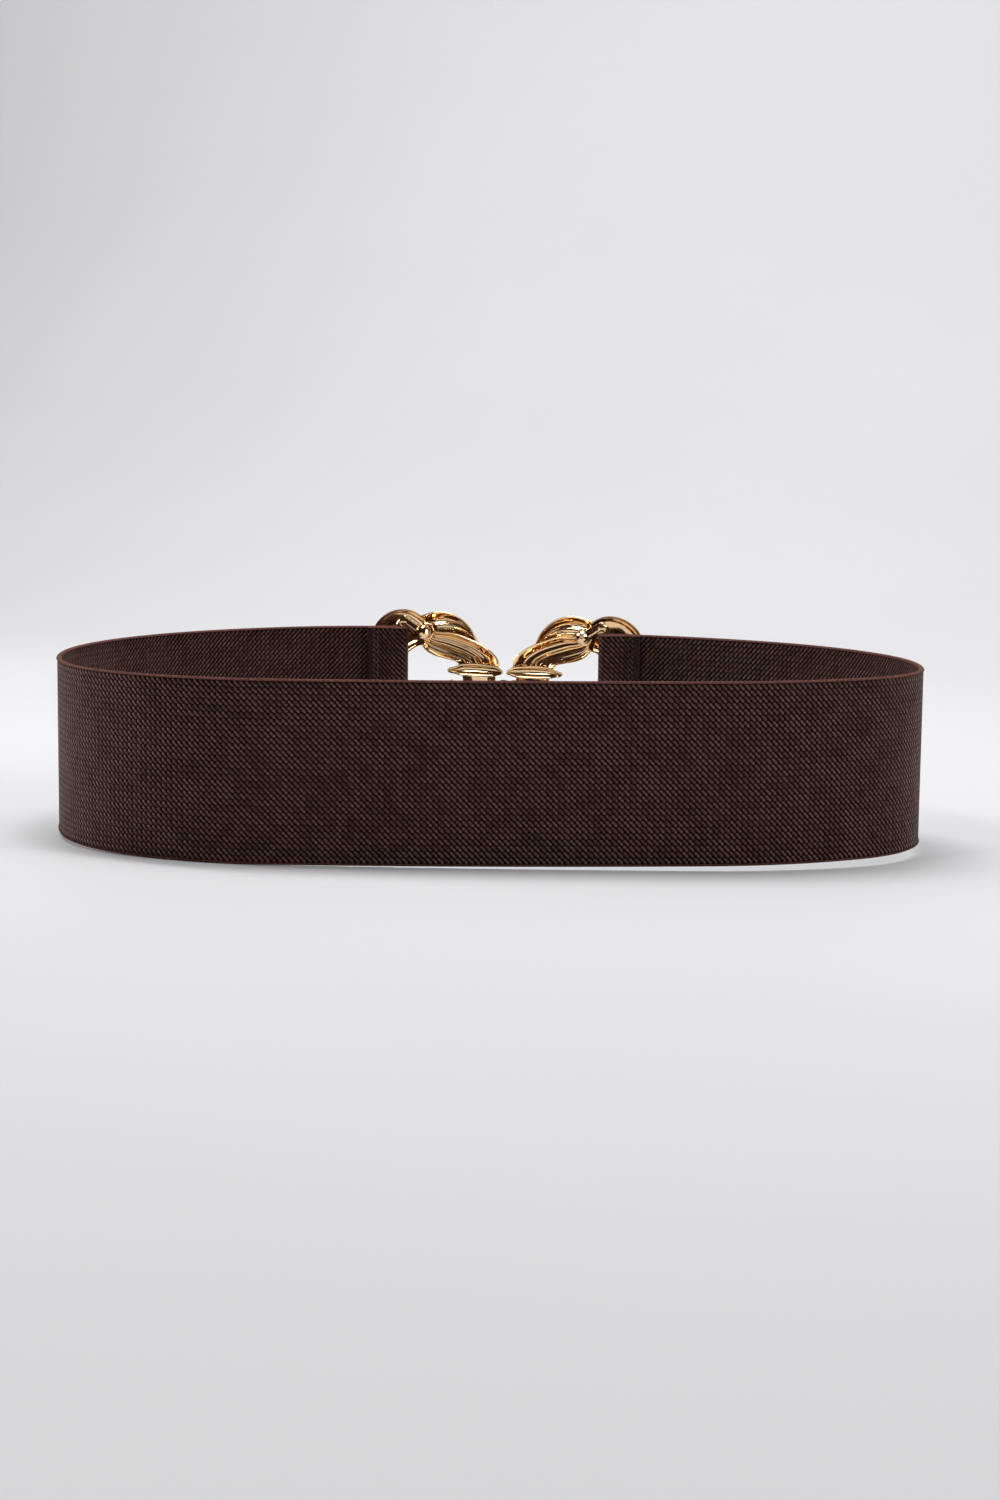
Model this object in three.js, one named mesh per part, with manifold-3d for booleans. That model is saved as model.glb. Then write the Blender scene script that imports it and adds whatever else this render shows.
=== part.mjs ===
// Wide elastic stretch belt with a two-part cast buckle, standing on its edge as a closed loop.
// Millimetres. +X runs along the buckle, +Y points out through the buckle, +Z is up.
import * as THREE from "three";
import { mergeVertices } from "three/addons/utils/BufferGeometryUtils.js";
import Module from "manifold-3d";

const wasm = await Module();
wasm.setup();

// Elastic band: length is measured from bar to bar along the middle of the webbing
const BAND_LENGTH = 726;
const BAND_WIDTH = 60;
const BAND_THICKNESS = 2;

// Each end of the band goes round a bar and is sewn back on itself, on the inside of the loop
const TAB_LENGTH = 14;
const TAB_SLANT = THREE.MathUtils.degToRad(25);
const TAB_STRAIGHT = 15;
const LAYER_GAP = 0.3;

// Wire bar that holds each end of the band
const BAR_RADIUS = 1.4;
const BAR_SPAN = 85;
const BAR_LOOSENESS = 0.4;
const BAR_RISE = 0.5;
const BAR_SIDES = 12;
const ELBOW_RADIUS = 1.6;
const ELBOW_STEPS = 4;
const RIVET_RADIUS = 2.8;
const RIVET_TOP_RADIUS = 1.7;
const RIVET_HEIGHT = 1.8;
const ROUND_SIDES = 12;

// Each cast half, measured from the middle of the buckle
const HALF_LENGTH = 57;
const HALF_RISE = 36.5;
const CAST_WALL = 1.4;
const CAST_CROWN = 4.2;
const ARCH_POWER = 0.7;
const FLUTE_DEPTH = 0.28;
const SWELL_AT_ENDS = 0.45;
const SWELL_POWER = 0.6;
const NECK_START = 0.07;
const BOSS_RADIUS = 2.8;
const BOSS_U = 32.5;
const BOSS_V = 28.2;

// Clasp hook, fixed to the right half and caught in the slot of the left half
const HOOK_THICKNESS = 1.2;
const HOOK_HEIGHT = 20.4;
const HOOK_PLATE_START = 3.4;
const HOOK_PLATE_END = 15.6;
const HOOK_LIP_HEIGHT = 12;
const TONGUE_WIDTH = 12.2;
const TONGUE_SIDES = 24;
const POST_WIDTH = 4;
const SLOT_LENGTH = 5;

const SEAT_GAP = 0.3;
const MERGE_WITHIN = 1e-4;
const FINEST_BEND = THREE.MathUtils.degToRad(6);
const FINEST_TAB_BEND = THREE.MathUtils.degToRad(18);

// Bends of the band from the left bar round the front to the right bar. The shares are of the
// stretch between the two sewn ends, and the turns are in degrees.
const BENDS = [
  { share: 0.04, turn: 19 },
  { share: 0.08, turn: 25 },
  { share: 0.09, turn: 30 },
  { share: 0.08, turn: 28 },
  { share: 0.06, turn: 37 },
  { share: 0.08, turn: 34 },
  { share: 0.1, turn: 4 },
  { share: 0.1, turn: 3 },
  { share: 0.08, turn: 26 },
  { share: 0.06, turn: 50 },
  { share: 0.08, turn: 35 },
  { share: 0.08, turn: 29 },
  { share: 0.07, turn: 17 },
];

// Edges of the leaves of one quarter of the buckle. u is a share of HALF_LENGTH from the middle,
// and v a share of HALF_RISE from mid-height. lift and crown are shares of CAST_CROWN.
const LEAVES = [
  {
    name: "limb",
    lift: 0.02,
    crown: 0.85,
    flutes: 3,
    along: 10,
    across: 6,
    upper: [
      { u: 0.56, v: 0.79 },
      { u: 0.46, v: 0.765 },
      { u: 0.36, v: 0.755 },
      { u: 0.21, v: 0.675 },
      { u: 0.13, v: 0.605 },
      { u: 0.07, v: 0.525 },
      { u: 0.045, v: 0.44 },
      { u: 0.05, v: 0.36 },
    ],
    lower: [
      { u: 0.61, v: 0.61 },
      { u: 0.57, v: 0.545 },
      { u: 0.51, v: 0.5 },
      { u: 0.42, v: 0.47 },
      { u: 0.355, v: 0.445 },
      { u: 0.33, v: 0.36 },
    ],
  },
  {
    name: "inner_lobe",
    lift: 0.15,
    crown: 0.9,
    flutes: 2,
    along: 8,
    across: 4,
    upper: [
      { u: 0.63, v: 0.93 },
      { u: 0.545, v: 0.975 },
      { u: 0.455, v: 0.99 },
      { u: 0.35, v: 0.94 },
      { u: 0.265, v: 0.83 },
      { u: 0.23, v: 0.735 },
      { u: 0.2, v: 0.62 },
    ],
    lower: [
      { u: 0.53, v: 0.73 },
      { u: 0.44, v: 0.725 },
      { u: 0.34, v: 0.715 },
      { u: 0.23, v: 0.65 },
      { u: 0.185, v: 0.6 },
    ],
  },
  {
    name: "outer_lobe",
    lift: 0.09,
    crown: 1,
    flutes: 1,
    along: 8,
    across: 4,
    upper: [
      { u: 0.59, v: 0.91 },
      { u: 0.68, v: 0.985 },
      { u: 0.76, v: 1 },
      { u: 0.85, v: 0.965 },
      { u: 0.925, v: 0.88 },
      { u: 0.965, v: 0.78 },
      { u: 0.985, v: 0.62 },
      { u: 0.99, v: 0.42 },
    ],
    lower: [
      { u: 0.58, v: 0.62 },
      { u: 0.64, v: 0.6 },
      { u: 0.7, v: 0.54 },
      { u: 0.75, v: 0.47 },
      { u: 0.78, v: 0.38 },
    ],
  },
  {
    name: "collar",
    lift: 0.05,
    crown: 0.95,
    flutes: 1,
    along: 8,
    across: 4,
    upper: [
      { u: 0.028, v: 0.352 },
      { u: 0.05, v: 0.408 },
      { u: 0.19, v: 0.425 },
      { u: 0.33, v: 0.415 },
      { u: 0.365, v: 0.4 },
      { u: 0.392, v: 0.367 },
    ],
    lower: [
      { u: 0.028, v: 0.345 },
      { u: 0.05, v: 0.312 },
      { u: 0.19, v: 0.312 },
      { u: 0.33, v: 0.322 },
      { u: 0.37, v: 0.326 },
      { u: 0.392, v: 0.358 },
    ],
  },
  {
    name: "neck_leaf",
    lift: 0.12,
    crown: 0.5,
    flutes: 1,
    along: 4,
    across: 2,
    upper: [
      { u: 0.27, v: 0.16 },
      { u: 0.345, v: 0.2 },
      { u: 0.392, v: 0.255 },
    ],
    lower: [
      { u: 0.26, v: 0.03 },
      { u: 0.37, v: 0.1 },
      { u: 0.4, v: 0.25 },
    ],
  },
];

// Leaves that run from the upper quarter through mid-height to the lower one
const CROSS_LEAVES = [
  {
    name: "side_lobe",
    lift: 0.21,
    crown: 0.8,
    flutes: 1,
    along: 6,
    across: 4,
    upper: [
      { u: 0.985, v: 0.5 },
      { u: 1, v: 0.25 },
      { u: 1, v: -0.25 },
      { u: 0.985, v: -0.5 },
    ],
    lower: [
      { u: 0.77, v: 0.46 },
      { u: 0.8, v: 0.2 },
      { u: 0.8, v: -0.2 },
      { u: 0.77, v: -0.46 },
    ],
  },
  {
    name: "neck",
    lift: 0.18,
    crown: 0.8,
    flutes: 2,
    along: 6,
    across: 4,
    upper: [
      { u: 0.075, v: 0.37 },
      { u: NECK_START, v: 0.12 },
      { u: NECK_START, v: -0.12 },
      { u: 0.075, v: -0.37 },
    ],
    lower: [
      { u: 0.325, v: 0.37 },
      { u: 0.3, v: 0.12 },
      { u: 0.3, v: -0.12 },
      { u: 0.325, v: -0.37 },
    ],
  },
];

// Webbing runs round the bar with this radius, measured to the middle of its thickness
const FOLD_RADIUS = BAR_RADIUS + BAR_LOOSENESS + BAND_THICKNESS / 2;
const FOLD_REACH = FOLD_RADIUS + BAND_THICKNESS / 2;
const MID_HEIGHT = BAND_WIDTH / 2;
// The open back of the casting faces the band across a small gap
const CAST_BACK = FOLD_REACH + SEAT_GAP;
const CAST_RIM = CAST_BACK + CAST_WALL;
const BOSS_FACE = BAR_RADIUS + RIVET_HEIGHT / 2;
const SLOT_MIDDLE = NECK_START * HALF_LENGTH + POST_WIDTH + SLOT_LENGTH / 2;

const gold = () => new THREE.MeshStandardMaterial({ color: 0xd9a441, metalness: 1, roughness: 0.15 });
const webbing = () => new THREE.MeshStandardMaterial({ color: 0x3f2420, metalness: 0, roughness: 0.9 });

// Closed solid from a geometry whose faces all point the same way round
function solidOf(geometry) {
  const bare = geometry.index ? geometry.toNonIndexed() : geometry.clone();
  bare.deleteAttribute("normal");
  bare.deleteAttribute("uv");
  const merged = mergeVertices(bare, MERGE_WITHIN);
  const triVerts = Uint32Array.from(merged.index.array);
  if (signedVolume(merged) < 0) {
    for (let i = 0; i < triVerts.length; i += 3) {
      [triVerts[i + 1], triVerts[i + 2]] = [triVerts[i + 2], triVerts[i + 1]];
    }
  }
  const vertProperties = Float32Array.from(merged.attributes.position.array);
  return new wasm.Manifold(new wasm.Mesh({ numProp: 3, vertProperties, triVerts }));
}

function signedVolume(geometry) {
  const position = geometry.attributes.position;
  const index = geometry.index.array;
  const [a, b, c] = [new THREE.Vector3(), new THREE.Vector3(), new THREE.Vector3()];
  let volume = 0;
  for (let i = 0; i < index.length; i += 3) {
    a.fromBufferAttribute(position, index[i]);
    b.fromBufferAttribute(position, index[i + 1]);
    c.fromBufferAttribute(position, index[i + 2]);
    volume += a.dot(b.cross(c)) / 6;
  }
  return volume;
}

function geometryOf(solid) {
  const mesh = solid.getMesh();
  const geometry = new THREE.BufferGeometry();
  geometry.setAttribute("position", new THREE.BufferAttribute(mesh.vertProperties, 3));
  geometry.setIndex(new THREE.BufferAttribute(mesh.triVerts, 1));
  return geometry;
}

function joined(geometries) {
  return geometries.map(solidOf).reduce((sum, solid) => sum.add(solid));
}

function named(name, solid, material) {
  const mesh = new THREE.Mesh(geometryOf(solid), material);
  mesh.name = name;
  return mesh;
}

// Walks along a list of bends and gives the points with their headings
function walk(steps, finest) {
  const points = [{ x: 0, y: 0, heading: 0 }];
  let { x, y, heading } = points[0];
  for (const { length, turn } of steps) {
    const count = Math.max(1, Math.ceil(Math.abs(turn) / finest));
    for (let i = 0; i < count; i += 1) {
      const half = turn / count / 2;
      const chord = half === 0 ? length / count : ((length / count) * Math.sin(half)) / half;
      heading += half;
      x += chord * Math.cos(heading);
      y += chord * Math.sin(heading);
      heading += half;
      points.push({ x, y, heading });
    }
  }
  return points;
}

// The sewn end of the band after it has left the bar: round the bar, aslant, then flat on the band
function tabSteps() {
  const layers = BAND_THICKNESS + LAYER_GAP;
  const drop = FOLD_RADIUS * (1 + Math.cos(TAB_SLANT)) - layers;
  const ease = FOLD_RADIUS * (1 - Math.cos(TAB_SLANT));
  const slope = (drop - ease) / Math.sin(TAB_SLANT);
  const used = FOLD_REACH + slope * Math.cos(TAB_SLANT);
  return [
    { length: FOLD_RADIUS * (Math.PI + TAB_SLANT), turn: Math.PI + TAB_SLANT },
    { length: slope, turn: 0 },
    { length: FOLD_RADIUS * TAB_SLANT, turn: -TAB_SLANT },
    { length: TAB_LENGTH - used, turn: 0 },
  ];
}

function mainSteps(tightness) {
  const bent = BAND_LENGTH - 2 * TAB_STRAIGHT;
  const straight = { length: TAB_STRAIGHT, turn: 0 };
  const bends = BENDS.map(({ share, turn }) => ({
    length: share * bent,
    turn: THREE.MathUtils.degToRad(turn) * tightness,
  }));
  return [straight, ...bends, straight];
}

// Middle of the bar that lies inside the fold at a point of the band's line
function barAt({ x, y, heading }) {
  return new THREE.Vector2(x - FOLD_RADIUS * Math.sin(heading), y + FOLD_RADIUS * Math.cos(heading));
}

// The band bends just as much as brings its two bars to their distance in the buckle
function findTightness() {
  let [low, high] = [0.5, 1.25];
  while (high - low > Number.EPSILON) {
    const middle = (low + high) / 2;
    const line = walk(mainSteps(middle), FINEST_BEND);
    const distance = barAt(line[0]).distanceTo(barAt(line[line.length - 1]));
    if (distance > BAR_SPAN) {
      low = middle;
    } else {
      high = middle;
    }
  }
  return (low + high) / 2;
}

// Plan of the band: the middle line of its webbing, from one cut end to the other
function bandLine() {
  const main = mainSteps(findTightness());
  const tab = tabSteps();
  const before = walk([...tab].reverse(), FINEST_TAB_BEND);
  const middle = walk(main, FINEST_BEND);
  const after = walk(tab, FINEST_TAB_BEND);
  const atBar = before[before.length - 1];
  const line = [...moved(before, atBar, middle[0]), ...middle.slice(1)];
  line.push(...moved(after, after[0], middle[middle.length - 1]).slice(1));
  const [left, right] = [barAt(middle[0]), barAt(middle[middle.length - 1])];
  const centre = left.clone().add(right).multiplyScalar(0.5);
  const angle = right.clone().sub(left).angle();
  return moved(line, { x: centre.x, y: centre.y, heading: angle }, { x: 0, y: 0, heading: 0 });
}

// Turns and shifts a line so that its point "from" comes to "to"
function moved(line, from, to) {
  const turn = to.heading - from.heading;
  const [c, s] = [Math.cos(turn), Math.sin(turn)];
  return line.map(({ x, y, heading }) => ({
    x: to.x + (x - from.x) * c - (y - from.y) * s,
    y: to.y + (x - from.x) * s + (y - from.y) * c,
    heading: heading + turn,
  }));
}

function bandSolid() {
  const line = bandLine();
  const side = (offset) =>
    line.map(({ x, y, heading }) => {
      return new THREE.Vector2(x + offset * Math.sin(heading), y - offset * Math.cos(heading));
    });
  const outline = [...side(BAND_THICKNESS / 2), ...side(-BAND_THICKNESS / 2).reverse()];
  const geometry = new THREE.ExtrudeGeometry(new THREE.Shape(outline), {
    depth: BAND_WIDTH,
    bevelEnabled: false,
  });
  return solidOf(geometry);
}

// A cast leaf: a curved wall between two edges, hollow towards the wearer
function leafGeometry({ upper, lower, lift, crown, flutes, along, across }) {
  const edge = (rows) =>
    new THREE.SplineCurve(rows.map(({ u, v }) => new THREE.Vector2(u * HALF_LENGTH, v * HALF_RISE)));
  const [upperEdge, lowerEdge] = [edge(upper), edge(lower)];
  const geometry = new THREE.BoxGeometry(1, 1, 1, along, across, 1);
  const position = geometry.attributes.position;
  for (let i = 0; i < position.count; i += 1) {
    const s = position.getX(i) + 0.5;
    const t = position.getY(i) + 0.5;
    const face = position.getZ(i) + 0.5;
    const point = upperEdge.getPointAt(s).lerp(lowerEdge.getPointAt(s), t);
    const arch = Math.sin(Math.PI * t) ** ARCH_POWER;
    const crease = flutes > 1 ? 1 - Math.abs(Math.sin(flutes * Math.PI * t)) : 0;
    const groove = FLUTE_DEPTH * crease * arch;
    const swell = SWELL_AT_ENDS + (1 - SWELL_AT_ENDS) * Math.sin(Math.PI * s) ** SWELL_POWER;
    const relief = lift + crown * swell * (arch - groove);
    const depth = CAST_BACK + relief * CAST_CROWN + CAST_WALL * face;
    position.setXYZ(i, point.x, depth, point.y);
  }
  return geometry;
}

// Boss that the bar's leg is riveted to, inside the casting
function bossGeometry() {
  const height = CAST_RIM + CAST_CROWN / 2 - BOSS_FACE;
  const boss = new THREE.CylinderGeometry(BOSS_RADIUS, BOSS_RADIUS, height, ROUND_SIDES);
  return boss.translate(BOSS_U, BOSS_FACE + height / 2, BOSS_V);
}

function halfSolid() {
  const quarter = [...LEAVES.map(leafGeometry), bossGeometry()];
  const lower = quarter.map((geometry) => geometry.clone().scale(1, 1, -1));
  return joined([...quarter, ...lower, ...CROSS_LEAVES.map(leafGeometry)]);
}

// Slot through the left half's neck that the hook's lip goes into
function slotSolid() {
  const height = HOOK_LIP_HEIGHT + 2 * SEAT_GAP;
  const through = 2 * (CAST_RIM + CAST_CROWN);
  const slot = new THREE.BoxGeometry(SLOT_LENGTH, through, height);
  return solidOf(slot.translate(SLOT_MIDDLE, CAST_RIM, 0));
}

// A bent wire's middle line, with one step of the sweep for each straight piece between its points
class WireLine extends THREE.Curve {
  constructor(points) {
    super();
    this.points = points;
  }

  getPoint(t) {
    const at = t * (this.points.length - 1);
    const i = Math.min(Math.floor(at), this.points.length - 2);
    return this.points[i].clone().lerp(this.points[i + 1], at - i);
  }

  getUtoTmapping(u) {
    return u;
  }
}

// Wire bar with its two legs and rivet heads, as the right-hand bar stands
function barSolid() {
  const overFold = MID_HEIGHT + SEAT_GAP + BAR_RADIUS;
  const bar = BAR_SPAN / 2;
  const elbow = new THREE.EllipseCurve(
    bar - ELBOW_RADIUS,
    overFold + BAR_RISE - ELBOW_RADIUS,
    ELBOW_RADIUS,
    ELBOW_RADIUS,
    Math.PI / 2,
    0,
    true,
  );
  const leg = [
    new THREE.Vector2(BOSS_U, BOSS_V),
    new THREE.Vector2(bar - FOLD_REACH - BAR_RADIUS, overFold),
    ...elbow.getPoints(ELBOW_STEPS),
  ];
  const upper = leg.map(({ x, y }) => new THREE.Vector3(x, 0, y));
  const lower = leg.map(({ x, y }) => new THREE.Vector3(x, 0, -y)).reverse();
  const wire = new THREE.ExtrudeGeometry(new THREE.Shape().absarc(0, 0, BAR_RADIUS, 0, 2 * Math.PI), {
    extrudePath: new WireLine([...upper, ...lower]),
    steps: 2 * leg.length - 1,
    curveSegments: BAR_SIDES / 2,
  });
  return joined([wire, rivetGeometry(1), rivetGeometry(-1)]);
}

// Domed head that lies on the boss
function rivetGeometry(side) {
  const base = BOSS_FACE - SEAT_GAP;
  const height = RIVET_HEIGHT + BAR_RADIUS;
  const dome = new THREE.CylinderGeometry(RIVET_RADIUS, RIVET_TOP_RADIUS, height, ROUND_SIDES);
  return dome.translate(BOSS_U, base - height / 2, side * BOSS_V);
}

// Hook plate behind the right neck, with a tongue to the left whose lip turns out into the slot
function hookSolid() {
  const back = CAST_BACK - SEAT_GAP - HOOK_THICKNESS;
  const lip = -(SLOT_MIDDLE + HOOK_THICKNESS / 2);
  const front = CAST_BACK + CAST_CROWN;
  const plateLength = HOOK_PLATE_END - lip;
  const plate = new THREE.BoxGeometry(plateLength, HOOK_THICKNESS, HOOK_LIP_HEIGHT);
  plate.translate(lip + plateLength / 2, back + HOOK_THICKNESS / 2, 0);
  const wide = new THREE.BoxGeometry(HOOK_PLATE_END - HOOK_PLATE_START, HOOK_THICKNESS, HOOK_HEIGHT);
  wide.translate((HOOK_PLATE_END + HOOK_PLATE_START) / 2, back + HOOK_THICKNESS / 2, 0);
  const round = HOOK_HEIGHT / 2;
  const tongue = new THREE.CylinderGeometry(round, round, HOOK_THICKNESS, TONGUE_SIDES);
  tongue.scale(TONGUE_WIDTH / HOOK_HEIGHT, 1, 1).translate(0, back + HOOK_THICKNESS / 2, 0);
  const catchLip = new THREE.BoxGeometry(HOOK_THICKNESS, front - back, HOOK_LIP_HEIGHT);
  catchLip.translate(lip + HOOK_THICKNESS / 2, (front + back) / 2, 0);
  return joined([plate, wide, tongue, catchLip]);
}

// All the pieces as they stand with the band upright and its lower edge at height 0
function buckleGroup() {
  const right = halfSolid();
  const left = right.mirror([1, 0, 0]).subtract(slotSolid().mirror([1, 0, 0]));
  const bar = barSolid();
  const group = new THREE.Group();
  group.add(
    named("buckle_half_left", left, gold()),
    named("buckle_half_right", right, gold()),
    named("band_bar_left", bar.mirror([1, 0, 0]), gold()),
    named("band_bar_right", bar, gold()),
    named("clasp_hook", hookSolid(), gold()),
  );
  group.position.z = MID_HEIGHT;
  return group;
}

// The buckle reaches below the band, so the loop leans on the buckle's lower lobes behind and on
// the edge of the band in front
function restingTilt(frontY) {
  const drop = HALF_RISE - MID_HEIGHT;
  return Math.atan2(drop, CAST_BACK - frontY);
}

function beltGroup() {
  const band = named("elastic_band", bandSolid(), webbing());
  const frontY = new THREE.Box3().setFromObject(band).min.y;
  const upright = new THREE.Group();
  upright.add(band, buckleGroup());
  upright.rotation.x = restingTilt(frontY);
  const belt = new THREE.Group();
  belt.add(upright);
  belt.updateMatrixWorld(true);
  const box = new THREE.Box3().setFromObject(belt, true);
  const centre = box.getCenter(new THREE.Vector3());
  upright.position.set(-centre.x, -centre.y, -box.min.z);
  return belt;
}

export default beltGroup();
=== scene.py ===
import math

import bmesh
import bpy
from mathutils import Matrix, Vector


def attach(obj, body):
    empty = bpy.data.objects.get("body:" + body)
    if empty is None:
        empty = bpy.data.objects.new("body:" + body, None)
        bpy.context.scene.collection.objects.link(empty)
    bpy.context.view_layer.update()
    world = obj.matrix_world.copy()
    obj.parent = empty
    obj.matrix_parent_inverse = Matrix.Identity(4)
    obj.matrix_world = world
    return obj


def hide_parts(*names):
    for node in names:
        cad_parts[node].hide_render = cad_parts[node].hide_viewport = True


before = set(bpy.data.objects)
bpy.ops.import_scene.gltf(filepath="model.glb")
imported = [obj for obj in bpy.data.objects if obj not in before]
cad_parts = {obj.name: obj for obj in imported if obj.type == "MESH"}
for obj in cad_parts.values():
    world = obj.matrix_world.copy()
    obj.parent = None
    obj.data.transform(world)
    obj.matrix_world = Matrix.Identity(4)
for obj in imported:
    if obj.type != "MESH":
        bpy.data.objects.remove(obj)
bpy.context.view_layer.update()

# Sizes in metres
BAND_LENGTH = 0.726
BAND_WIDTH = 0.060
BAND_THICKNESS = 0.002
TAB_LENGTH = 0.0140
TAB_SLANT = math.radians(25)
TAB_STRAIGHT = 0.015
TAB_CHORD = math.radians(5)
BAND_CHORD = math.radians(2)
LAYER_GAP = 0.0003
BAR_RADIUS = 0.0014
BAR_LOOSENESS = 0.0004
BAR_RISE = 0.0005
BAR_SPAN = 0.085
ELBOW_RADIUS = 0.0016
RIVET_RADIUS = 0.0028
RIVET_HEAD = (0.0026, 0.0019, 0.0026)
HALF_LENGTH = 0.057
HALF_RISE = 0.0365
CAST_WALL = 0.0014
CAST_CROWN = 0.0042
BOSS_RADIUS = 0.0028
BOSS_U = 0.0325
BOSS_V = 0.0282
HOOK_THICKNESS = 0.0012
HOOK_HEIGHT = 0.0204
HOOK_PLATE_START = 0.0034
HOOK_PLATE_END = 0.0156
HOOK_LIP_HEIGHT = 0.012
TONGUE_WIDTH = 0.0122
NECK_START = 0.07
POST_WIDTH = 0.004
SLOT_LENGTH = 0.005
SEAT_GAP = 0.0003
RIM = 0.00075
STRAP_WIDTH = 0.0032
STRAP_THICKNESS = 0.0022
STRAP_START = (0.0402, 0.0330)
FOLD_RADIUS = BAR_RADIUS + BAR_LOOSENESS + BAND_THICKNESS / 2
FOLD_REACH = FOLD_RADIUS + BAND_THICKNESS / 2
MID_HEIGHT = BAND_WIDTH / 2
CAST_BACK = FOLD_REACH + SEAT_GAP
RIVET_HEIGHT = 0.0018
BOSS_FACE = BAR_RADIUS + RIVET_HEIGHT / 2
SLOT_MIDDLE = NECK_START * HALF_LENGTH + POST_WIDTH + SLOT_LENGTH / 2

# Weave: one slanted float to each cell
FLOAT_PITCH = 0.00192
ROW_PITCH = 0.00201
SELVEDGE = 0.0007
GROUND_DEPTH = 0.0007
FLOAT_LENGTH = 0.00275
FLOAT_WIDTH = 0.00112
FLOAT_ROUNDNESS = 0.72
BARE_ENDS = 0.0024

# Sewing at the two cut ends
STITCH_PLACE = 0.0040
STITCH_DIP = 0.0006
STITCH_REACH = 0.0006
STITCH_RADII = (0.00028, 0.00026, 0.0012)
STITCH_START = 0.0022
STITCH_PITCH = 0.00278
STITCH_COUNT = 21
HEM_PUFF = 0.0003
OVERLOCK_REACH = 0.0031
OVERLOCK_LOOP = 0.0009
OVERLOCK_PROUD = 0.00012
OVERLOCK_SLANT = 0.35
OVERLOCK_START = 0.0012
OVERLOCK_PITCH = 0.0007
OVERLOCK_COUNT = 83

# The belt is drawn upright, with the band's lower edge at height 0 and the buckle's middle at the
# origin, and then stood in the row's frame, leaning a little towards its front
LEAN = 0.03080224
STAND = Matrix.Translation((-0.02748042, 0.09932053, 0.00639851)) @ Matrix.Rotation(LEAN, 4, "X")

# Bends of the band from the left bar to the right one: share of its length, turn in degrees
BENDS = [
    (0.04, 19), (0.08, 25), (0.09, 30), (0.08, 28), (0.06, 37), (0.08, 34), (0.1, 4),
    (0.1, 3), (0.08, 26), (0.06, 50), (0.08, 35), (0.08, 29), (0.07, 17),
]

# Leaves of one quarter of a cast half. Their two edges are in shares of the half's length and rise.
# Lift, crown and tuck are in shares of the cast crown
CREASE_DEPTH = 0.3
LEAVES = [
    {"name": "limb", "lift": 0.02, "crown": 0.85, "flutes": 3, "along": 26, "across": 24, "tuck": 0.25,
     "bias": 1.2,
     "upper": [(0.56, 0.79), (0.46, 0.765), (0.36, 0.755), (0.21, 0.675), (0.13, 0.605),
               (0.07, 0.525), (0.048, 0.45), (0.055, 0.385)],
     "lower": [(0.61, 0.61), (0.57, 0.545), (0.51, 0.5), (0.42, 0.47), (0.36, 0.445), (0.335, 0.385)]},
    {"name": "inner_lobe", "lift": 0.15, "crown": 0.9, "flutes": 2, "along": 24, "across": 20,
     "bias": 1.25,
     "upper": [(0.63, 0.93), (0.545, 0.975), (0.455, 0.99), (0.35, 0.94), (0.265, 0.83),
               (0.23, 0.735), (0.2, 0.62)],
     "lower": [(0.53, 0.73), (0.44, 0.725), (0.34, 0.715), (0.23, 0.65), (0.185, 0.6)]},
    {"name": "outer_lobe", "lift": 0.09, "crown": 1, "flutes": 1, "along": 26, "across": 16,
     "upper": [(0.59, 0.91), (0.68, 0.985), (0.76, 1), (0.85, 0.965), (0.925, 0.88),
               (0.965, 0.78), (0.985, 0.62), (0.99, 0.42)],
     "lower": [(0.58, 0.62), (0.64, 0.6), (0.7, 0.54), (0.75, 0.47), (0.78, 0.38)]},
    {"name": "collar", "lift": -0.2, "crown": 0.42, "flutes": 1, "along": 24, "across": 12, "ends": 0,
     "upper": [(0.012, 0.358), (0.016, 0.374), (0.03, 0.392), (0.07, 0.424), (0.19, 0.443),
               (0.31, 0.436), (0.345, 0.408), (0.385, 0.392), (0.41, 0.378), (0.416, 0.36)],
     "lower": [(0.012, 0.35), (0.02, 0.334), (0.045, 0.322), (0.085, 0.304), (0.19, 0.3),
               (0.315, 0.304), (0.355, 0.32), (0.392, 0.328), (0.41, 0.338), (0.416, 0.352)]},
    {"name": "neck_leaf", "lift": 0.12, "crown": 0.5, "flutes": 1, "along": 12, "across": 8,
     "upper": [(0.27, 0.16), (0.345, 0.2), (0.392, 0.255)],
     "lower": [(0.26, 0.03), (0.37, 0.1), (0.4, 0.25)]},
]
CROSS_LEAVES = [
    {"name": "side_lobe", "lift": 0.21, "crown": 0.8, "flutes": 1, "along": 24, "across": 16,
     "upper": [(0.985, 0.5), (1, 0.25), (1, -0.25), (0.985, -0.5)],
     "lower": [(0.77, 0.46), (0.8, 0.2), (0.8, -0.2), (0.77, -0.46)]},
    {"name": "neck", "lift": 0.18, "crown": 0.8, "flutes": 2, "along": 24, "across": 20,
     "upper": [(0.075, 0.37), (0.07, 0.12), (0.07, -0.12), (0.075, -0.37)],
     "lower": [(0.325, 0.37), (0.3, 0.12), (0.3, -0.12), (0.325, -0.37)]},
]


# Hand tools

def clear():
    if bpy.context.object and bpy.context.object.mode != "OBJECT":
        bpy.ops.object.mode_set(mode="OBJECT")
    bpy.ops.object.select_all(action="DESELECT")


def pick(piece):
    clear()
    piece.select_set(True)
    bpy.context.view_layer.objects.active = piece


def fresh(name):
    piece = bpy.context.object
    piece.name = name
    piece.data.name = name
    return piece


def edit(piece, kind="FACE"):
    pick(piece)
    bpy.ops.object.mode_set(mode="EDIT")
    bpy.ops.mesh.select_mode(type=kind)
    bpy.ops.mesh.select_all(action="DESELECT")
    return bmesh.from_edit_mesh(piece.data)


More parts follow.
